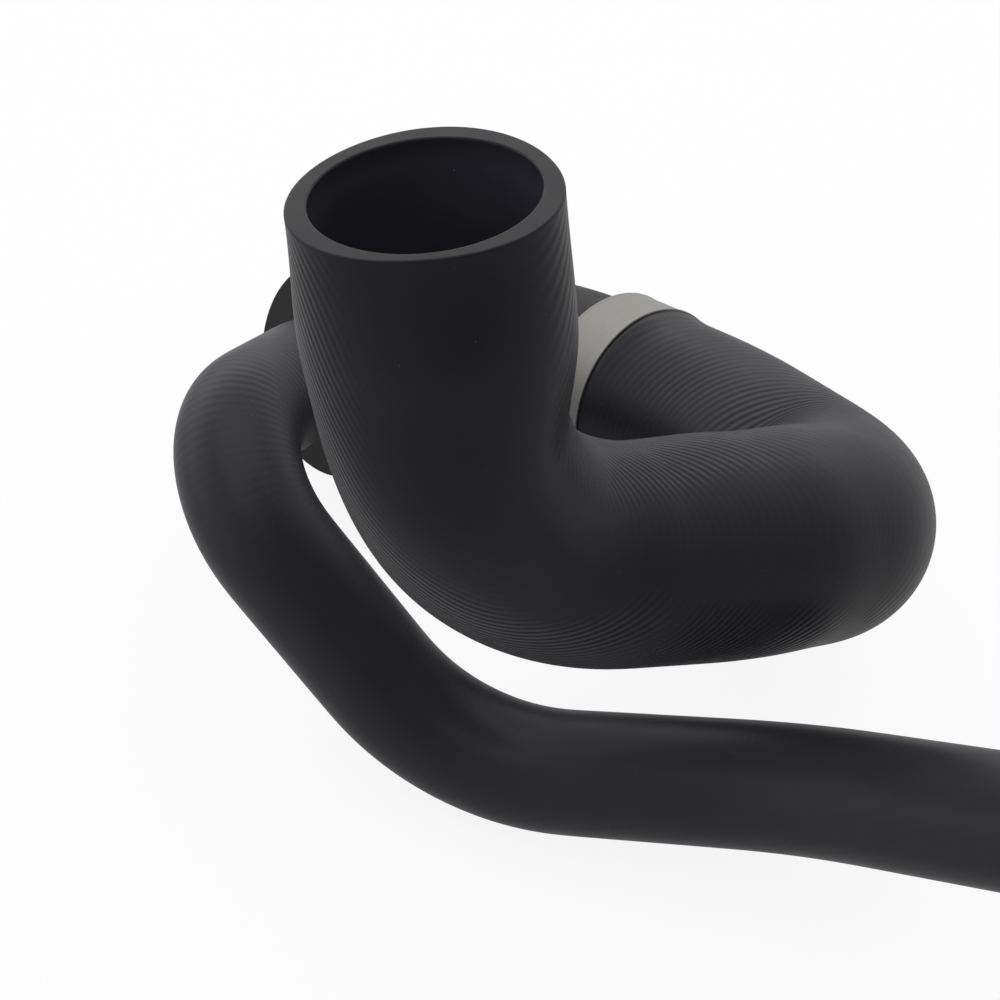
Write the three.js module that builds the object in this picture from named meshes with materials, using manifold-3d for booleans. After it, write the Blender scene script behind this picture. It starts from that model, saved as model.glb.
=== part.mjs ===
// Moulded coolant hose assembly for a car engine: a large bent hose with an open mouth, a metal
// crimp ring, a moulded rubber joint with a flat end face, and a smaller hose that leaves that face.
// Units are millimetres, +Z is up, and the assembly lies on the floor plane z = 0. The origin is
// on that plane, below the middle of the assembly.
import * as THREE from 'three'
import { mergeVertices } from 'three/addons/utils/BufferGeometryUtils.js'
import Module from 'manifold-3d'

const wasm = await Module()
wasm.setup()

// Driving dimensions of the hoses
const mainBore = 38
const mainWall = 3.8
const branchBore = 20.4
const branchWall = 3.5
const fitGap = 0.3

// Centrelines as on a hose drawing: corner points, and the bend radius at each inner corner
const mainCorners = [
  [-35, -34.2, 176.8],
  [-28.4, -52.1, 103.7],
  [31.5, -26.2, 75.4],
  [54.4, -9.7, 57.3],
  [28.9, 33.3, 36.8],
  [4.9, 58.8, 24.8],
]
const mainBends = [54, 26, 25.5, 117]
const elbowReach = 36
const jointBend = 28.5
const jointFace = [-62.7, 48.6, 40.5]
const branchCorners = [
  [-86.9, -2.7, 73.9],
  [-31.5, -38.3, 6.4],
  [42.8, -58, 31.6],
  [83.9, -80.7, 56.6],
]
const branchNeck = 5
const branchBends = [21, 23.5, 43, 109]

// Crimp ring
const ringWidth = 13.6
const ringThickness = 0.6
const ringLip = 0.2

// Moulded joint
const jointRadius = 20.7
const headRadius = 25.5
const headLength = 31
const headTaper = 11
const headSink = 2
const faceChamfer = 0.4
const socketDepth = 14
const spigotLength = 24
const spigotCollar = 2
const spigotStep = 8
const barbHeight = 0.7
const spigotLeadIn = 1.5

// How far solids run past each other where they are joined or cut
const overrun = 1

// Fineness of the solids
const bendStep = THREE.MathUtils.degToRad(9)
const mainSides = 36
const branchSides = 26
const boreSides = 28

const mainRadius = mainBore / 2 + mainWall
const branchRadius = branchBore / 2 + branchWall
const spigotRadius = mainBore / 2 - fitGap
const socketRadius = branchRadius + fitGap
const up = new THREE.Vector3(0, 1, 0)

const vector = (corner) => new THREE.Vector3(...corner)

// A centreline of straight runs and circular bends. Its stations are the ends of the straight runs
// and equal small turns in each bend, so straight runs cost no extra faces.
class HoseLine extends THREE.Curve {
  constructor(corners, bends) {
    super()
    this.points = []
    this.tangents = []
    this.addStation(corners[0], corners[1].clone().sub(corners[0]).normalize())
    for (let i = 1; i < corners.length - 1; i++) {
      this.addBend(corners[i - 1], corners[i], corners[i + 1], bends[i - 1])
    }
    const last = corners.length - 1
    this.addStation(corners[last], corners[last].clone().sub(corners[last - 1]).normalize())
  }

  addStation(point, tangent) {
    this.points.push(point.clone())
    this.tangents.push(tangent.clone())
  }

  addBend(before, corner, after, radius) {
    const incoming = corner.clone().sub(before).normalize()
    const outgoing = after.clone().sub(corner).normalize()
    const turn = incoming.angleTo(outgoing)
    const start = corner.clone().addScaledVector(incoming, -radius * Math.tan(turn / 2))
    const inward = outgoing.clone().addScaledVector(incoming, -outgoing.dot(incoming)).normalize()
    const steps = Math.max(2, Math.ceil(turn / bendStep))
    for (let i = 0; i <= steps; i++) {
      const angle = (turn * i) / steps
      const along = radius * Math.sin(angle)
      const across = radius * (1 - Math.cos(angle))
      this.addStation(
        start.clone().addScaledVector(incoming, along).addScaledVector(inward, across),
        incoming.clone().multiplyScalar(Math.cos(angle)).addScaledVector(inward, Math.sin(angle)),
      )
    }
  }

  get steps() {
    return this.points.length - 1
  }

  getPoint(t) {
    return this.points[Math.round(t * this.steps)].clone()
  }

  getPointAt(u) {
    return this.getPoint(u)
  }

  getTangentAt(u) {
    return this.tangents[Math.round(u * this.steps)].clone()
  }
}

function ringOfPoints(radius, sides) {
  return Array.from({ length: sides }, (_, i) => {
    const angle = (2 * Math.PI * i) / sides
    return new THREE.Vector2(radius * Math.cos(angle), radius * Math.sin(angle))
  })
}

// A round bar or tube swept along a centreline, square at both ends
function sweep(line, outerRadius, innerRadius, sides) {
  const section = new THREE.Shape(ringOfPoints(outerRadius, sides))
  if (innerRadius > 0) {
    section.holes.push(new THREE.Path(ringOfPoints(innerRadius, sides)))
  }
  return new THREE.ExtrudeGeometry(section, {
    steps: line.steps,
    extrudePath: line,
    bevelEnabled: false,
  })
}

// A turned body: the profile is [radius, distance along the axis], the axis starts at a point
function turned(profile, origin, direction, sides) {
  const points = profile.map(([radius, along]) => new THREE.Vector2(radius, along))
  const geometry = new THREE.LatheGeometry(points, sides)
  const turn = new THREE.Quaternion().setFromUnitVectors(up, direction)
  geometry.applyQuaternion(turn)
  geometry.translate(origin.x, origin.y, origin.z)
  return geometry
}

function toSolid(geometry) {
  const bare = geometry.clone()
  bare.deleteAttribute('normal')
  bare.deleteAttribute('uv')
  const merged = mergeVertices(bare, 1e-4)
  return new wasm.Manifold(
    new wasm.Mesh({
      numProp: 3,
      vertProperties: new Float32Array(merged.attributes.position.array),
      triVerts: new Uint32Array(merged.index.array),
    }),
  )
}

function toGeometry(solid) {
  const mesh = solid.getMesh()
  const geometry = new THREE.BufferGeometry()
  geometry.setAttribute('position', new THREE.BufferAttribute(mesh.vertProperties, 3))
  geometry.setIndex(new THREE.BufferAttribute(mesh.triVerts, 1))
  geometry.computeVertexNormals()
  return geometry
}

// Soft rubber lies on a small flat spot: what would sink below the floor is pressed flat
function restFlat(solid) {
  const size = 400
  const floor = new THREE.BoxGeometry(size, size, size).translate(0, 0, -size / 2)
  return solid.subtract(toSolid(floor))
}

function piece(name, geometry, color, roughness, metalness) {
  const material = new THREE.MeshStandardMaterial({ color, roughness, metalness })
  const mesh = new THREE.Mesh(geometry, material)
  mesh.name = name
  return mesh
}

const mainLine = new HoseLine(mainCorners.map(vector), mainBends)
const mainEnd = vector(mainCorners[mainCorners.length - 1])
const mainEndDirection = mainLine.getTangentAt(1)
const elbow = mainEnd.clone().addScaledVector(mainEndDirection, elbowReach)
const face = vector(jointFace)
const faceNormal = face.clone().sub(elbow).normalize()

function makeMainHose() {
  const hose = toSolid(sweep(mainLine, mainRadius, mainBore / 2, mainSides))
  return piece('main_hose', toGeometry(restFlat(hose)), 0x26252a, 0.55, 0)
}

// The ring hugs the end of the main hose; both of its edges are turned out a little
function makeCrimpRing() {
  const inner = mainRadius + fitGap
  const outer = inner + ringThickness
  const profile = [
    [inner, 0],
    [outer + ringLip, 0],
    [outer, ringLip * 2],
    [outer, ringWidth - ringLip * 2],
    [outer + ringLip, ringWidth],
    [inner, ringWidth],
    [inner, 0],
  ]
  const points = profile.map(([radius, along]) => new THREE.Vector2(radius, along))
  const ring = piece('crimp_ring', new THREE.LatheGeometry(points, mainSides), 0x959491, 0.35, 0.9)
  ring.position.copy(mainEnd).addScaledVector(mainEndDirection, -ringWidth)
  ring.quaternion.setFromUnitVectors(up, mainEndDirection)
  return ring
}

// Barbed spigot that the main hose is pushed over, up to the shoulder of the joint
function makeSpigot(origin, direction) {
  const root = spigotRadius - barbHeight
  const profile = [
    [0, 0],
    [root, 0],
    [root, spigotCollar],
  ]
  for (let start = spigotCollar; start + spigotStep <= spigotLength; start += spigotStep) {
    profile.push([spigotRadius, start], [root, start + spigotStep - spigotLeadIn], [root, start + spigotStep])
  }
  profile.push([root - spigotLeadIn, spigotLength], [0, spigotLength])
  return toSolid(turned(profile, origin, direction.clone().negate(), mainSides))
}

// Round head of the joint: tapers out of the elbow and ends in the flat face
function makeHead() {
  const start = face.clone().addScaledVector(faceNormal, -headLength)
  const profile = [
    [0, 0],
    [jointRadius - headSink, 0],
    [headRadius, headTaper],
    [headRadius, headLength - faceChamfer],
    [headRadius - faceChamfer, headLength],
    [0, headLength],
  ]
  return toSolid(turned(profile, start, faceNormal, mainSides))
}

function makeJoint() {
  const shoulder = mainEnd.clone().addScaledVector(mainEndDirection, fitGap)
  const spigotTip = mainEnd.clone().addScaledVector(mainEndDirection, -spigotLength - overrun)
  const socketStart = face.clone().addScaledVector(faceNormal, -socketDepth)
  const beyondFace = face.clone().addScaledVector(faceNormal, overrun)
  const bodyEnd = face.clone().addScaledVector(faceNormal, -overrun)
  const bodyLine = new HoseLine([shoulder, elbow, bodyEnd], [jointBend])
  const boreLine = new HoseLine([spigotTip, elbow, beyondFace], [jointBend])
  const socket = new HoseLine([socketStart, beyondFace], [])
  const joint = toSolid(sweep(bodyLine, jointRadius, 0, mainSides))
    .add(makeHead())
    .add(makeSpigot(shoulder.clone().addScaledVector(mainEndDirection, overrun), mainEndDirection))
    .subtract(toSolid(sweep(boreLine, branchBore / 2, 0, boreSides)))
    .subtract(toSolid(sweep(socket, socketRadius, 0, boreSides)))
  return piece('joint_body', toGeometry(restFlat(joint)), 0x2e2d2f, 0.6, 0)
}

function makeBranchHose() {
  const seat = face.clone().addScaledVector(faceNormal, fitGap - socketDepth)
  const neck = face.clone().addScaledVector(faceNormal, branchNeck)
  const line = new HoseLine([seat, neck, ...branchCorners.map(vector)], branchBends)
  const hose = toSolid(sweep(line, branchRadius, branchBore / 2, branchSides))
  return piece('branch_hose', toGeometry(restFlat(hose)), 0x2a292d, 0.55, 0)
}

const coolantHose = new THREE.Group()
coolantHose.name = 'coolant_hose'
coolantHose.add(makeMainHose(), makeCrimpRing(), makeJoint(), makeBranchHose())

export default coolantHose
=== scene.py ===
# %% [markdown]
# # A moulded coolant hose assembly
# A large bent rubber hose with an open mouth is crimped by a metal band onto a moulded rubber
# joint, and a smaller hose leaves the flat end face of that joint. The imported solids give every
# place and size. Here the four pieces get their fine shape, their materials and a studio.

# %% Load the frame
import math

import bpy
import numpy as np
from mathutils import Matrix, Vector


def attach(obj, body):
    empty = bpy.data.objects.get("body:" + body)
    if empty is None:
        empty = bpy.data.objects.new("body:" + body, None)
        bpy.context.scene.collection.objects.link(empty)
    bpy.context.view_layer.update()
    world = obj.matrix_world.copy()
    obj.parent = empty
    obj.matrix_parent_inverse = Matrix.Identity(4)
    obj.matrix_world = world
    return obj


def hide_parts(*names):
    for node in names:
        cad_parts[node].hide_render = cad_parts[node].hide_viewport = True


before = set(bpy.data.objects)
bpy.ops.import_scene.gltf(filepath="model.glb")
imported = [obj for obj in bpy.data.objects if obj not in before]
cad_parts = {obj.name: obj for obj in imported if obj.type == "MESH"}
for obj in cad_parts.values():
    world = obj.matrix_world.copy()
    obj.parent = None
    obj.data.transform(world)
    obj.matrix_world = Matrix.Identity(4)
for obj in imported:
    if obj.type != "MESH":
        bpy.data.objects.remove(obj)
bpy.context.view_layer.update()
MM = 0.001
print("nodes:", sorted(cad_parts))

# %% [markdown]
# ## The camera
# The view looks down on the assembly at about 52 degrees with a slightly long lens. The camera is
# given by its place and by the directions of its right, down and forward axes, which were solved
# from the outlines of the hoses.

# %% Camera
CAMERA_PLACE = (-21.8, -282.2, 412.9)
CAMERA_RIGHT = (0.9999, 0.0113, 0.0089)
CAMERA_DOWN = (0.0144, -0.7862, -0.6178)
SENSOR = 36.0
FOCAL_PIXELS = 2100.0
FRAME_PIXELS = 1000.0


def aim_camera():
    right = Vector(CAMERA_RIGHT).normalized()
    down = Vector(CAMERA_DOWN)
    down = (down - right * down.dot(right)).normalized()
    forward = right.cross(down)
    camera = bpy.data.objects.new("camera", bpy.data.cameras.new("camera"))
    bpy.context.scene.collection.objects.link(camera)
    turn = Matrix((right, -down, -forward)).transposed().to_4x4()
    camera.matrix_world = Matrix.Translation(Vector(CAMERA_PLACE) * MM) @ turn
    camera.data.sensor_width = SENSOR
    camera.data.lens = SENSOR * FOCAL_PIXELS / FRAME_PIXELS
    camera.data.clip_start = 0.01
    camera.data.clip_end = 30
    bpy.context.scene.camera = camera
    print("camera looks down", round(math.degrees(math.asin(-forward.z)), 1), "degrees")


aim_camera()

# %% [markdown]
# ## Routes of the hoses
# A hose drawing gives the corner points of the centreline and a bend radius at each corner. The
# same points are listed here, in millimetres. The centreline is sampled every
# quarter millimetre, and its arcs are eased into the straight runs, because rubber cured on a
# bent core has no sudden change of curvature.

# %% Centrelines
MAIN_CORNERS = [
    (-35, -34.2, 176.8),
    (-28.4, -52.1, 103.7),
    (31.5, -26.2, 75.4),
    (54.4, -9.7, 57.3),
    (28.9, 33.3, 36.8),
    (4.9, 58.8, 24.8),
]
MAIN_BENDS = [54, 26, 25.5, 117]
ELBOW_REACH = 36
JOINT_BEND = 28.5
JOINT_FACE = (-62.7, 48.6, 40.5)
BRANCH_CORNERS = [
    (-86.9, -2.7, 73.9),
    (-31.5, -38.3, 6.4),
    (42.8, -58, 31.6),
    (83.9, -80.7, 56.6),
]
BRANCH_NECK = 5
BRANCH_BENDS = [21, 23.5, 43, 109]
STEP = 0.25
EASE = 7.0


def unit(vector):
    return np.asarray(vector, float) / np.linalg.norm(vector)


def bend_points(before, corner, after, radius):
    incoming, outgoing = unit(corner - before), unit(after - corner)
    turn = math.acos(np.clip(incoming @ outgoing, -1, 1))
    start = corner - incoming * radius * math.tan(turn / 2)
    inward = unit(outgoing - incoming * (outgoing @ incoming))
    angles = np.linspace(0, turn, max(3, int(turn * radius / STEP)))[:, None]
    return start + incoming * radius * np.sin(angles) + inward * radius * (1 - np.cos(angles))


def even_steps(points):
    run = np.concatenate([[0], np.cumsum(np.linalg.norm(np.diff(points, axis=0), axis=1))])
    places = np.linspace(0, run[-1], int(run[-1] / STEP) + 1)
    return np.stack([np.interp(places, run, points[:, k]) for k in range(3)], axis=1)


def eased(points):
    half = int(EASE / STEP)
    window = np.hanning(2 * half + 3)[1:-1]
    window /= window.sum()
    steps = np.arange(1, half + 1)[:, None]
    head = points[0] + (points[0] - points[1]) * steps[::-1]
    tail = points[-1] + (points[-1] - points[-2]) * steps
    padded = np.concatenate([head, points, tail])
    return np.stack([np.convolve(padded[:, k], window, "valid") for k in range(3)], axis=1)


class Route:
    """A centreline with a frame that doesn't twist, read at any distance along it."""

    def __init__(self, corners, bends):
        corners = [np.asarray(c, float) for c in corners]
        parts = [corners[0][None]]
        for i, radius in enumerate(bends, 1):
            parts.append(bend_points(corners[i - 1], corners[i], corners[i + 1], radius))
        parts.append(corners[-1][None])
        self.points = even_steps(eased(even_steps(np.concatenate(parts))))
        ahead = np.gradient(self.points, axis=0)
        self.tangents = ahead / np.linalg.norm(ahead, axis=1)[:, None]
        gaps = np.linalg.norm(np.diff(self.points, axis=0), axis=1)
        self.run = np.concatenate([[0], np.cumsum(gaps)])
        self.length = self.run[-1]
        side = unit(np.cross(self.tangents[0], (0.3, 1, 0.2)))
        sides = [side]
        for tangent in self.tangents[1:]:
            side = unit(side - tangent * (side @ tangent))
            sides.append(side)
        self.sides = np.array(sides)
        self.overs = np.cross(self.tangents, self.sides)

    def read(self, values, places):
        return np.stack([np.interp(places, self.run, values[:, k]) for k in range(3)], axis=1)

    def at(self, places):
        inside = np.clip(places, 0, self.length)
        beyond = (places - inside)[:, None]
        tangents = self.read(self.tangents, inside)
        return self.read(self.points, inside) + tangents * beyond, tangents


main_route = Route(MAIN_CORNERS, MAIN_BENDS)
main_end = np.array(MAIN_CORNERS[-1], float)
main_end_direction = unit(main_end - np.array(MAIN_CORNERS[-2]))
elbow = main_end + ELBOW_REACH * main_end_direction
face = np.array(JOINT_FACE, float)
face_normal = unit(face - elbow)
print("main hose", round(main_route.length), "mm long")

# %% [markdown]
# ## From a route to a closed mesh
# Each piece is a tube, so one closed outline of distance along the route and radius, swung round
# the route, gives the whole body: outside, end faces and bore. Each point also carries what its
# material needs to know: how far it lies along the tape, how strong the ridges are there, and how
# much its colour is darker on the cut face or painted lighter in the bore, as painted light.

# %% Swing an outline round a route
def swing(name, route, outline, sides, relief=None, marks=None):
    places = np.array([p for p, _ in outline], float)
    radii = np.array([r for _, r in outline], float)
    centres, tangents = route.at(places)
    inside = np.clip(places, 0, route.length)
    side, over = route.read(route.sides, inside), route.read(route.overs, inside)
    angles = np.linspace(0, 2 * math.pi, sides, endpoint=False)
    radius = np.repeat(radii[:, None], sides, axis=1)
    if relief is not None:
        radius = radius + relief(places[:, None], angles[None, :], radius)
    spokes = (
        side[:, None, :] * np.cos(angles)[None, :, None]
        + over[:, None, :] * np.sin(angles)[None, :, None]
    )
    points = (centres[:, None, :] + spokes * radius[:, :, None]).reshape(-1, 3)
    points[:, 2] = np.maximum(points[:, 2], 0)
    rings = len(places)
    i, j = np.meshgrid(np.arange(rings), np.arange(sides), indexing="ij")
    i2, j2 = (i + 1) % rings, (j + 1) % sides
    quads = np.stack([i * sides + j, i * sides + j2, i2 * sides + j2, i2 * sides + j], axis=-1)
    mesh = bpy.data.meshes.new(name)
    mesh.from_pydata((points * MM).tolist(), [], quads.reshape(-1, 4)[:, ::-1].tolist())
    mesh.shade_smooth()
    for mark, value in (marks or {}).items():
        values = np.broadcast_to(value(places[:, None], angles[None, :], radii[:, None]), radius.shape)
        layer = mesh.attributes.new(mark, "FLOAT", "POINT")
        layer.data.foreach_set("value", values.astype(np.float32).ravel())
    piece = bpy.data.objects.new(name, mesh)
    bpy.context.scene.collection.objects.link(piece)
    print(name, len(mesh.polygons) * 2, "triangles")
    return piece


def rounded(corner, before, after, radius, steps=4):
    """A small arc in place of one corner of an outline."""
    corner, before, after = (np.array(p, float) for p in (corner, before, after))
    a, b = unit(before - corner), unit(after - corner)
    start, end = corner + a * radius, corner + b * radius
    centre = corner + (a + b) * radius
    from_centre, to_centre = start - centre, end - centre
    turns = np.linspace(0, math.pi / 2, steps + 1)
    return [tuple(centre + from_centre * math.cos(t) + to_centre * math.sin(t)) for t in turns]


def run_between(start, end, step):
    count = max(1, int(abs(end[0] - start[0] + 1e-9) / step))
    return [tuple(p) for p in np.linspace(start, end, count + 1)]


def hose_outline(length, outer, inner, step, edge=0.35, support=0.15):
    """Outside, far end face, bore and near end face of a plain hose, as one closed outline."""
    corners = [(0, outer), (length, outer), (length, inner), (0, inner)]
    outline = []
    for k, corner in enumerate(corners):
        before, after = corners[k - 1], corners[(k + 1) % 4]
        arc = rounded(corner, before, after, edge)
        outline += arc
        leave = np.array(arc[-1]) + unit(np.array(after) - np.array(corner)) * support
        reach = np.array(after) + unit(np.array(corner) - np.array(after)) * (edge + support)
        outline += run_between(tuple(leave), tuple(reach), step if k == 0 else 4)
    return outline


# %% [markdown]
# ## The large hose
# Such a hose is wrapped in a wet nylon tape while it cures, and the tape leaves a shallow ridge at
# every turn, about 2 mm apart. The soft hose is pushed over a bent core, so its turns end up
# leaning: TAPE_LEAN says how far, by the cosine and the sine of the angle round the hose.
# TAPE_PRESS gives the height of the ridges along the hose, and the side on which they are pressed
# nearly flat: its angle, how much is taken away there, and half its width in degrees. The last
# number makes them higher on the lower side. Next to the metal band the squeezed rubber swells a
# little.
#
# The wall is not truly round either: the elbow is pressed in on its inner side and the mouth is a
# little flattened. SOFT_WALL says, at places along the hose, how far the wall lies from the true
# circle in mm: all round, then by the cosine and sine of one and of two times the angle. LIP_WAVES
# adds the cosine and sine of three and four times the angle at the mouth, and BORE_LIP is the row
# that the mouth's inner edge has instead.

# %% Large hose
MAIN_RADIUS = 22.8
MAIN_BORE = 19.0
RIB_PITCH = 2.4
RIB_HEIGHT = 0.05
RING_WIDTH = 13.6
RING_SWELL = 0.7
SWELL_REACH = 4.5
SOFT_WALL = [
    (0, -0.53, 0.11, -0.83, 0.34, -0.55),
    (25, 0.34, -0.01, 0.27, 1.07, 0.18),
    (50, -0.41, -0.42, 1.28, -0.49, 0.86),
    (75, -0.59, -1.43, 1.28, -0.10, 0.73),
    (100, -0.35, -0.16, 1.52, 0.41, 0.35),
    (125, 0.02, -0.05, 0.96, -0.04, 0.03),
    (150, 0.09, 0.01, -0.11, -0.13, -0.03),
    (175, 0, 0, 0, 0, 0),
]
LIP_WAVES = (0.43, 0.32, 0.07, 0.06)
BORE_LIP = (-0.19, 0.16, -0.55, 0.18, -0.36)
LIP_REACH = 25
TAPE_LEAN = [
    (0, 1.0, 0.5),
    (32, 1.2, 1.0),
    (64, 1.6, 0.7),
    (96, 1.45, 0.2),
    (128, 1.2, 0.0),
    (160, 0.75, -0.2),
    (192, -0.5, 0.0),
    (224, -0.35, 0.05),
    (258, 0.0, 0.0),
]
TAPE_PRESS = [
    (0, 0.8, 65, 0.92, 38, 0.0),
    (45, 0.8, 60, 0.92, 38, 0.0),
    (70, 1.1, 38, 0.95, 30, 0.8),
    (95, 1.9, 8, 0.95, 20, 0.5),
    (125, 2.1, 6, 0.94, 32, 0.2),
    (145, 0.8, 2, 0.9, 42, 0.0),
    (165, 0.6, -19, 0.8, 28, 0.0),
    (185, 2.0, -60, 0.0, 20, 0.0),
    (205, 0.6, -60, 0.0, 20, 0.0),
    (240, 0.35, -60, 0.0, 20, 0.0),
    (258, 0.3, -60, 0.0, 20, 0.0),
]
QUIET_FADE = 25
TAPE_FADE = 3
SKIN = 0.5
# How much the bore's colour is painted lighter, as painted light inside it, and the depth from the cut
# over which it comes in.
BORE_PAINTED_LIGHT = 1.9
PAINTED_LIGHT_DEPTH = 1.5
CUT_SHADE = 0.45


def between(table, column, places):
    """A column of a table of stations, read at any place with eased steps."""
    stations = np.array([row[0] for row in table], float)
    values = np.array([row[column] for row in table], float)
    k = np.clip(np.searchsorted(stations, places) - 1, 0, len(table) - 2)
    t = np.clip((places - stations[k]) / (stations[k + 1] - stations[k]), 0, 1)
    t = t * t * (3 - 2 * t)
    return values[k] * (1 - t) + values[k + 1] * t


def along_tape(places, angles, radius):
    lean = between(TAPE_LEAN, 1, places) * np.cos(angles)
    lean = lean + between(TAPE_LEAN, 2, places) * np.sin(angles)
    return places - MAIN_RADIUS * lean


def away_from_ends(places, length):
    return np.clip(places / TAPE_FADE, 0, 1) * np.clip((length - places) / TAPE_FADE, 0, 1)


def tape_strength(places, angles, radius):
    drift = 0.85 + 0.15 * np.sin(places * 0.11 + 2 * angles + 0.7) * np.sin(places * 0.045 + angles)
    turned = np.degrees(angles) - between(TAPE_PRESS, 2, places)
    beyond = np.abs((turned + 180) % 360 - 180) - between(TAPE_PRESS, 4, places)
    quiet = between(TAPE_PRESS, 3, places) * np.clip(1 - beyond / QUIET_FADE, 0, 1)
    low = 1 + between(TAPE_PRESS, 5, places) * np.clip(np.sin(np.radians(turned)), 0, 1)
    outside = radius > MAIN_RADIUS - SKIN
    away = away_from_ends(places, main_route.length)
    return between(TAPE_PRESS, 1, places) * low * drift * away * (1 - quiet) * outside


def cut_tone_and_bore_painted_light(from_cut, radius, bore, outside):
    """The change of colour: the cut face is darker, and the bore is painted lighter as painted light.
    """
    # The bore is painted lighter, a painted light that grows over the first millimetres in from the
    # cut.
    inside = (radius < bore + 0.2) * np.clip(from_cut / PAINTED_LIGHT_DEPTH, 0, 1)
    cut = (from_cut < 0.05) * (radius > bore + 0.2) * (radius < outside - 0.3)
    return BORE_PAINTED_LIGHT * inside - CUT_SHADE * cut


# Painted light in the bore of the large hose, and its darker cut face.
def main_cut_tone_and_bore_light(places, angles, radius):
    return cut_tone_and_bore_painted_light(places, radius, MAIN_BORE, MAIN_RADIUS)


def waves(angles):
    return 1, np.cos(angles), np.sin(angles), np.cos(2 * angles), np.sin(2 * angles)


def soft_wall(places, angles, outside):
    total = sum(
        between(SOFT_WALL, 1 + k, places) * wave
        for k, wave in enumerate(waves(angles))
    )
    from_lip = np.clip(places / LIP_REACH, 0, 1)
    lip = (1 - from_lip) ** 2 * (1 + 2 * from_lip)
    fine = np.cos(3 * angles) * LIP_WAVES[0] + np.sin(3 * angles) * LIP_WAVES[1]
    fine = fine + np.cos(4 * angles) * LIP_WAVES[2] + np.sin(4 * angles) * LIP_WAVES[3]
    bore = sum(
        (value - SOFT_WALL[0][1 + k]) * wave
        for k, (value, wave) in enumerate(zip(BORE_LIP, waves(angles)))
    )
    return total + lip * np.where(outside, fine, bore)


def main_relief(places, angles, radius):
    outside = radius > (MAIN_RADIUS + MAIN_BORE) / 2
    from_ring = main_route.length - RING_WIDTH - places
    swell = RING_SWELL * np.exp(-((from_ring / SWELL_REACH) ** 2)) * np.clip(from_ring / 0.3, 0, 1)
    return np.where(outside, swell, 0) + soft_wall(places, angles, outside)


main_hose = swing(
    "large_hose",
    main_route,
    hose_outline(main_route.length, MAIN_RADIUS, MAIN_BORE, 0.8),
    128,
    main_relief,
    {"tape": along_tape, "tape_strength": tape_strength, "tone_and_painted_light": main_cut_tone_and_bore_light},
)

# %% [markdown]
# ## The metal band
# A thin aluminium sleeve is pressed over the end of the hose. Its two edges are turned out a
# little and catch the light as fine bright lines.

# %% Metal band
RING_INNER = MAIN_RADIUS + 0.3
RING_THICKNESS = 0.6
RING_LIP = 0.2


def band_outline():
    low, high = 0.0, RING_WIDTH
    outer = RING_INNER + RING_THICKNESS
    lip = outer + RING_LIP
    near = [(low, RING_INNER + 0.2), (low, lip - 0.15), (low + 0.06, lip - 0.04), (low + 0.2, lip)]
    near += [(low + 0.5, lip - 0.03), (low + 0.9, outer + 0.03), (low + 1.3, outer)]
    far = [(high - p, r) for p, r in near[::-1]]
    under = [(high - 0.15, RING_INNER), (high - 0.4, RING_INNER), (low + 0.4, RING_INNER)]
    return near + [(high / 2, outer)] + far + under + [(low + 0.15, RING_INNER)]


band_route = Route([main_end - main_end_direction * RING_WIDTH, main_end], [])
metal_band = swing("metal_band", band_route, band_outline(), 192)

# %% [markdown]
# ## The moulded joint
# The joint is one rubber moulding: a barbed spigot inside the large hose, a smooth bend, and a
# round head that ends in a flat face with a socket for the smaller hose. It came out of a
# polished mould, so it has no ribs.

# %% Moulded joint
SPIGOT_RADIUS = MAIN_BORE - 0.3
SPIGOT_LENGTH = 24
SPIGOT_COLLAR = 2
SPIGOT_STEP = 8
BARB_HEIGHT = 0.7
LEAD_IN = 1.5
JOINT_RADIUS = 20.7
HEAD_RADIUS = 25.5
HEAD_LENGTH = 31
HEAD_TAPER = 11
BRANCH_RADIUS = 13.7
BRANCH_BORE = 10.2
SOCKET_RADIUS = BRANCH_RADIUS + 0.05
SOCKET_DEPTH = 14

joint_route = Route(
    [main_end - main_end_direction * (SPIGOT_LENGTH - 0.3), elbow, face],
    [JOINT_BEND],
)


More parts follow.
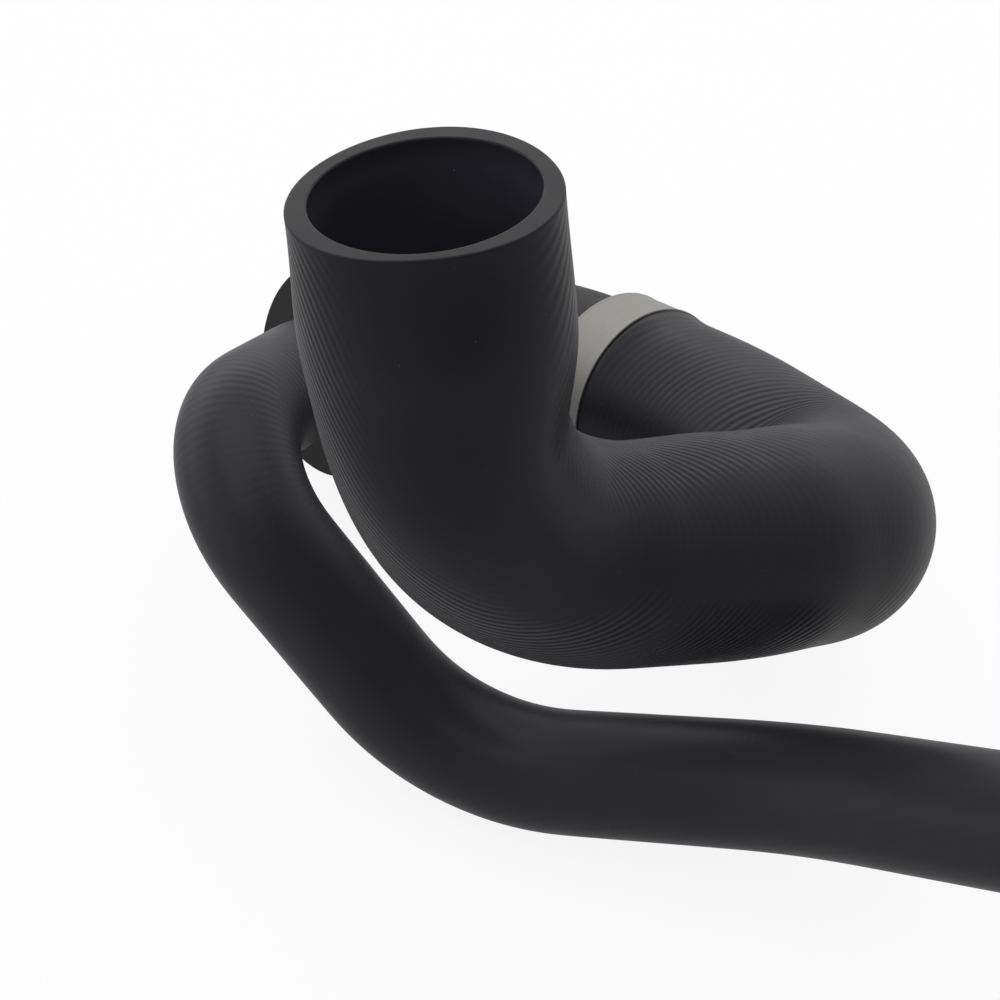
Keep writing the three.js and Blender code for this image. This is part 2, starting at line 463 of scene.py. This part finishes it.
def joint_outline():
    shoulder = float(SPIGOT_LENGTH)
    end = joint_route.length
    root = SPIGOT_RADIUS - BARB_HEIGHT
    outline = [(0.0, BRANCH_BORE + 0.6), (0.0, root - LEAD_IN)]
    for start in (shoulder - SPIGOT_COLLAR - 2 * SPIGOT_STEP, shoulder - SPIGOT_COLLAR - SPIGOT_STEP):
        outline += [(start, root), (start + LEAD_IN, root), (start + SPIGOT_STEP, SPIGOT_RADIUS)]
        outline += [(start + SPIGOT_STEP + 0.05, root)]
    outline += [(shoulder - 0.05, root), (shoulder, root + 0.1)]
    outline += rounded(
        (shoulder, JOINT_RADIUS), (shoulder, root), (shoulder + 9, JOINT_RADIUS), 0.8
    )
    head = end - HEAD_LENGTH
    outline += run_between((shoulder + 1.2, JOINT_RADIUS), (head, JOINT_RADIUS), 0.8)
    for t in np.linspace(0, 1, 12)[1:]:
        ease = t * t * (3 - 2 * t)
        outline.append((head + HEAD_TAPER * t, JOINT_RADIUS + (HEAD_RADIUS - JOINT_RADIUS) * ease))
    outline += run_between((head + HEAD_TAPER + 1, HEAD_RADIUS), (end - 0.8, HEAD_RADIUS), 1.5)
    outline += rounded((end, HEAD_RADIUS), (end - 9, HEAD_RADIUS), (end, SOCKET_RADIUS), 0.45)
    outline += [(end, HEAD_RADIUS - 0.7), (end, HEAD_RADIUS - 4), (end, SOCKET_RADIUS + 0.6)]
    outline += rounded((end, SOCKET_RADIUS), (end, HEAD_RADIUS), (end - 9, SOCKET_RADIUS), 0.3)
    floor_of_socket = end - SOCKET_DEPTH
    outline += [(floor_of_socket + 0.3, SOCKET_RADIUS), (floor_of_socket, SOCKET_RADIUS - 0.2)]
    outline += [(floor_of_socket, BRANCH_BORE + 0.3), (floor_of_socket - 0.3, BRANCH_BORE)]
    outline += run_between((floor_of_socket - 1.8, BRANCH_BORE), (0.6, BRANCH_BORE), 1.5)
    return outline


joint_body = swing("moulded_joint", joint_route, joint_outline(), 144)

# %% [markdown]
# ## The smaller hose
# It sits in the socket, bends sharply beside the face and runs on to its cut end. Its tape left
# finer ridges, which show only on the first bend; along the rest the wall is almost smooth.

# %% Smaller hose
branch_route = Route(
    [face + face_normal * (0.3 - SOCKET_DEPTH), face + face_normal * BRANCH_NECK, *BRANCH_CORNERS],
    BRANCH_BENDS,
)
FINE_PITCH = 1.5
FINE_HEIGHT = 0.025
FINE_CENTRE = 48
FINE_SPREAD = 24


def fine_tape(places, angles, radius):
    return places


def fine_strength(places, angles, radius):
    strong = np.exp(-(((places - FINE_CENTRE) / FINE_SPREAD) ** 2))
    fade = away_from_ends(places, branch_route.length)
    return (0.15 + 0.85 * strong) * fade * (radius > BRANCH_RADIUS - SKIN)


# Painted light in the bore of the small hose, and its darker cut face.
def branch_cut_tone_and_bore_light(places, angles, radius):
    from_cut = branch_route.length - places
    return cut_tone_and_bore_painted_light(from_cut, radius, BRANCH_BORE, BRANCH_RADIUS)


branch_hose = swing(
    "small_hose",
    branch_route,
    hose_outline(branch_route.length, BRANCH_RADIUS, BRANCH_BORE, 0.8),
    96,
    marks={"tape": fine_tape, "tape_strength": fine_strength, "tone_and_painted_light": branch_cut_tone_and_bore_light},
)
print("small hose", round(branch_route.length), "mm long")

# %% [markdown]
# ## Materials
# Every colour is written as an sRGB hex value, and one function turns it to linear light. One
# small function adds a node with its settings and its links.

# %% Node helpers
def linear(hex_colour):
    values = [int(hex_colour[k : k + 2], 16) / 255 for k in (1, 3, 5)]
    return [v / 12.92 if v <= 0.04045 else ((v + 0.055) / 1.055) ** 2.4 for v in values] + [1.0]


def add(tree, kind, settings=None, **links):
    node = tree.nodes.new(kind)
    for key, value in (settings or {}).items():
        if isinstance(key, int) or key in node.inputs:
            node.inputs[key].default_value = value
        else:
            setattr(node, key, value)
    for key, source in links.items():
        slot = key.replace("_", " ")
        tree.links.new(source, node.inputs[int(slot[1:]) if slot[1:].isdigit() else slot])
    return node


def new_material(name):
    material = bpy.data.materials.new(name)
    material.use_nodes = True
    tree = material.node_tree
    tree.nodes.clear()
    return material, tree


# %% [markdown]
# ## EPDM rubber
# Coolant hoses are EPDM rubber with much carbon black: a deep, faintly violet black with a satin
# skin. It looks almost flat where it faces you and turns pale where you see it at a grazing
# angle. Fine grit of 0.3 mm from the tape keeps the sheen soft, and larger soft spots a few
# millimetres wide vary it. The ridges of the tape are relief of about a tenth of a millimetre,
# drawn along the marks that the mesh carries. The cut face is darker than the outside, and the
# bore's colour is painted pale, a painted light that stands in for light reaching into it.

# %% Rubber
def tape_ridges(tree, pitch):
    tape = add(tree, "ShaderNodeAttribute", {"attribute_name": "tape"})
    strength = add(tree, "ShaderNodeAttribute", {"attribute_name": "tape_strength"})
    turns = 2 * math.pi / pitch
    phase = add(
        tree, "ShaderNodeMath", {"operation": "MULTIPLY", 1: turns}, A0=tape.outputs["Fac"]
    )
    wave = add(tree, "ShaderNodeMath", {"operation": "SINE"}, A0=phase.outputs[0])
    ridge = add(
        tree,
        "ShaderNodeMath",
        {"operation": "MULTIPLY"},
        A0=wave.outputs[0],
        A1=strength.outputs["Fac"],
    )
    return ridge.outputs[0]


def epdm(name, colour, lighter, roughness, grit_height, dust, pitch=0.0, height=0.0):
    material, tree = new_material(name)
    place = add(tree, "ShaderNodeTexCoord").outputs["Object"]
    cloud = add(
        tree,
        "ShaderNodeTexNoise",
        {"Scale": 1 / (9 * MM), "Detail": 3.0, "Roughness": 0.55},
        Vector=place,
    )
    clouded = add(
        tree,
        "ShaderNodeMix",
        {"data_type": "RGBA", 6: linear(colour), 7: linear(lighter)},
        Factor=cloud.outputs["Fac"],
    )
    specks = add(
        tree, "ShaderNodeTexVoronoi", {"Scale": 1 / (5.5 * MM), "Randomness": 1.0}, Vector=place
    )
    near = add(
        tree,
        "ShaderNodeMapRange",
        {"From Min": 0.016, "From Max": 0.03, "To Min": dust, "To Max": 0.0},
        Value=specks.outputs["Distance"],
    )
    dusty = add(
        tree,
        "ShaderNodeMix",
        {"data_type": "RGBA", 7: linear("#8a8988")},
        Factor=near.outputs["Result"],
        A6=clouded.outputs[2],
    )
    satin = add(
        tree,
        "ShaderNodeMapRange",
        {"From Min": 0.3, "From Max": 0.7, "To Min": roughness - 0.03, "To Max": roughness + 0.03},
        Value=cloud.outputs["Fac"],
    )
    grit = add(
        tree,
        "ShaderNodeTexNoise",
        {"Scale": 1 / (0.3 * MM), "Detail": 2.0, "Roughness": 0.6},
        Vector=place,
    )
    bump = add(
        tree,
        "ShaderNodeBump",
        {"Strength": 1.0, "Distance": grit_height * MM},
        Height=grit.outputs["Fac"],
    )
    if height:
        bump = add(
            tree,
            "ShaderNodeBump",
            {"Strength": 1.0, "Distance": height * MM},
            Height=tape_ridges(tree, pitch),
            Normal=bump.outputs["Normal"],
        )
    # This mark darkens the cut face and paints light into the bore.
    tone_and_painted_light = add(tree, "ShaderNodeAttribute", {"attribute_name": "tone_and_painted_light"})
    level = add(tree, "ShaderNodeMath", {1: 1.0}, A0=tone_and_painted_light.outputs["Fac"])
    toned_and_painted_light = add(
        tree,
        "ShaderNodeVectorMath",
        {"operation": "SCALE"},
        Vector=dusty.outputs[2],
        Scale=level.outputs[0],
    )
    surface = add(
        tree,
        "ShaderNodeBsdfPrincipled",
        {"IOR": 1.25},
        Base_Color=toned_and_painted_light.outputs[0],
        Roughness=satin.outputs["Result"],
        Normal=bump.outputs["Normal"],
    )
    add(tree, "ShaderNodeOutputMaterial", Surface=surface.outputs["BSDF"])
    return material


main_rubber = epdm(
    "epdm_taped_black",
    "#1d1c22",
    "#212026",
    roughness=0.38,
    grit_height=0.02,
    dust=0.2,
    pitch=RIB_PITCH,
    height=RIB_HEIGHT,
)
branch_rubber = epdm(
    "epdm_fine_taped_black",
    "#2e2d32",
    "#323136",
    roughness=0.37,
    grit_height=0.02,
    dust=0.2,
    pitch=FINE_PITCH,
    height=FINE_HEIGHT,
)
joint_rubber = epdm(
    "epdm_moulded_black", "#212022", "#252426", roughness=0.45, grit_height=0.015, dust=0.0
)

# %% [markdown]
# ## Satin aluminium
# The band is plain aluminium strip with a satin, faintly rolled surface: fine lines run round it,
# about half a millimetre apart, and its roughness varies with them.

# %% Aluminium
def satin_aluminium():
    material, tree = new_material("aluminium_satin_rolled")
    place = add(tree, "ShaderNodeTexCoord").outputs["Object"]
    along = tuple(main_end_direction)
    distance = add(
        tree, "ShaderNodeVectorMath", {"operation": "DOT_PRODUCT", 1: along}, A0=place
    )
    lines = add(
        tree,
        "ShaderNodeTexNoise",
        {"noise_dimensions": "1D", "Scale": 1 / (0.5 * MM), "Detail": 3.0},
        W=distance.outputs["Value"],
    )
    rough = add(
        tree,
        "ShaderNodeMapRange",
        {"From Min": 0.3, "From Max": 0.7, "To Min": 0.66, "To Max": 0.74},
        Value=lines.outputs["Fac"],
    )
    bump = add(
        tree,
        "ShaderNodeBump",
        {"Strength": 0.6, "Distance": 0.01 * MM},
        Height=lines.outputs["Fac"],
    )
    surface = add(
        tree,
        "ShaderNodeBsdfPrincipled",
        {"Base Color": linear("#9a9995"), "Metallic": 1.0},
        Roughness=rough.outputs["Result"],
        Normal=bump.outputs["Normal"],
    )
    add(tree, "ShaderNodeOutputMaterial", Surface=surface.outputs["BSDF"])
    return material


aluminium = satin_aluminium()

# %% [markdown]
# ## Put each piece in the place of its solid
# Each fine piece stands for the imported solid of the same part, rides on the one body and takes
# the material made for it above.

# %% Dress the frame
for piece, node, slot, material in (
    (main_hose, "main_hose", "main_rubber", main_rubber),
    (metal_band, "crimp_ring", "ring_metal", aluminium),
    (joint_body, "joint_body", "joint_rubber", joint_rubber),
    (branch_hose, "branch_hose", "branch_rubber", branch_rubber),
):
    piece.data.materials.append(material)
    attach(piece, "root")
    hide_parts(node)

# %% [markdown]
# ## The studio
# A white sweep in a soft light tent: its walls are brightest low down, behind and to the left of
# the assembly, and a wide softbox hangs overhead. To the camera the floor is nearly white by
# itself, in reflections less so, and the rest of it stays diffuse, so that the soft shadow of the
# assembly shows. To all other light it is pale grey paper.

# %% Floor
CAMERA_WHITE = 0.88
MIRROR_WHITE = 0.35
PAPER_GREY = "#c6c6c6"


def white_share(tree):
    """How much of the floor is white by itself: most for the camera, less in reflections."""
    path = add(tree, "ShaderNodeLightPath")
    direct = add(
        tree,
        "ShaderNodeMath",
        {"operation": "MAXIMUM"},
        A0=path.outputs["Is Camera Ray"],
        A1=path.outputs["Is Transmission Ray"],
    )
    most = add(
        tree,
        "ShaderNodeMath",
        {"operation": "MULTIPLY", 1: CAMERA_WHITE},
        A0=direct.outputs[0],
    )
    less = add(
        tree,
        "ShaderNodeMath",
        {"operation": "MULTIPLY", 1: MIRROR_WHITE},
        A0=path.outputs["Is Glossy Ray"],
    )
    return add(tree, "ShaderNodeMath", A0=most.outputs[0], A1=less.outputs[0]).outputs[0]


def lay_floor():
    size = 8.0
    mesh = bpy.data.meshes.new("floor")
    mesh.from_pydata(
        [(-size, -size, 0), (size, -size, 0), (size, size, 0), (-size, size, 0)],
        [],
        [(0, 1, 2, 3)],
    )
    floor = bpy.data.objects.new("floor", mesh)
    bpy.context.scene.collection.objects.link(floor)
    material, tree = new_material("floor_white")
    path = add(tree, "ShaderNodeLightPath")
    shade = add(
        tree,
        "ShaderNodeMix",
        {"data_type": "RGBA", 6: linear(PAPER_GREY), 7: linear("#ffffff")},
        Factor=path.outputs["Is Camera Ray"],
    )
    paper = add(tree, "ShaderNodeBsdfDiffuse", Color=shade.outputs[2])
    glow = add(tree, "ShaderNodeEmission", {"Color": linear("#ffffff"), "Strength": 1.0})
    mixed = add(
        tree,
        "ShaderNodeMixShader",
        Fac=white_share(tree),
        A1=paper.outputs[0],
        A2=glow.outputs[0],
    )
    add(tree, "ShaderNodeOutputMaterial", Surface=mixed.outputs[0])
    mesh.materials.append(material)


lay_floor()

# %% Sky and lamps
SKY_LEVEL = 1.25
SKY_LEAN = (-0.5, 1.05, 0.0)


def make_sky():
    world = bpy.data.worlds.new("studio")
    world.use_nodes = True
    tree = world.node_tree
    tree.nodes.clear()
    direction = add(tree, "ShaderNodeTexCoord").outputs["Generated"]
    lean = add(tree, "ShaderNodeVectorMath", {"operation": "DOT_PRODUCT", 1: SKY_LEAN}, A0=direction)
    around = add(tree, "ShaderNodeMath", {1: SKY_LEVEL}, A0=lean.outputs["Value"])
    height = add(tree, "ShaderNodeSeparateXYZ", Vector=direction)
    fade = add(
        tree,
        "ShaderNodeMapRange",
        {"From Min": 0.0, "From Max": 1.0, "To Min": 1.0, "To Max": 0.15},
        Value=height.outputs["Z"],
    )
    total = add(
        tree,
        "ShaderNodeMath",
        {"operation": "MULTIPLY"},
        A0=around.outputs[0],
        A1=fade.outputs["Result"],
    ).outputs[0]
    sky = add(tree, "ShaderNodeBackground", {"Color": linear("#ffffff")}, Strength=total)
    white = add(tree, "ShaderNodeBackground", {"Color": linear("#ffffff"), "Strength": 1.0})
    path = add(tree, "ShaderNodeLightPath")
    mixed = add(
        tree,
        "ShaderNodeMixShader",
        Fac=path.outputs["Is Camera Ray"],
        A1=sky.outputs[0],
        A2=white.outputs[0],
    )
    add(tree, "ShaderNodeOutputWorld", Surface=mixed.outputs[0])
    bpy.context.scene.world = world


def hang_lamp(name, place, aim, size, watts):
    light = bpy.data.lights.new(name, "AREA")
    light.shape = "SQUARE"
    light.size = size
    light.energy = watts
    lamp = bpy.data.objects.new(name, light)
    bpy.context.scene.collection.objects.link(lamp)
    lamp.location = place
    lamp.rotation_euler = (Vector(aim) - Vector(place)).to_track_quat("-Z", "Y").to_euler()


make_sky()
hang_lamp("overhead_softbox", (0.0, 0.1, 1.6), (0.0, 0.0, 0.05), 2.0, 16.0)

# %% [markdown]
# ## Finish
# The plain Standard view keeps written colours as they are.

# %% View
bpy.context.scene.view_settings.view_transform = "Standard"
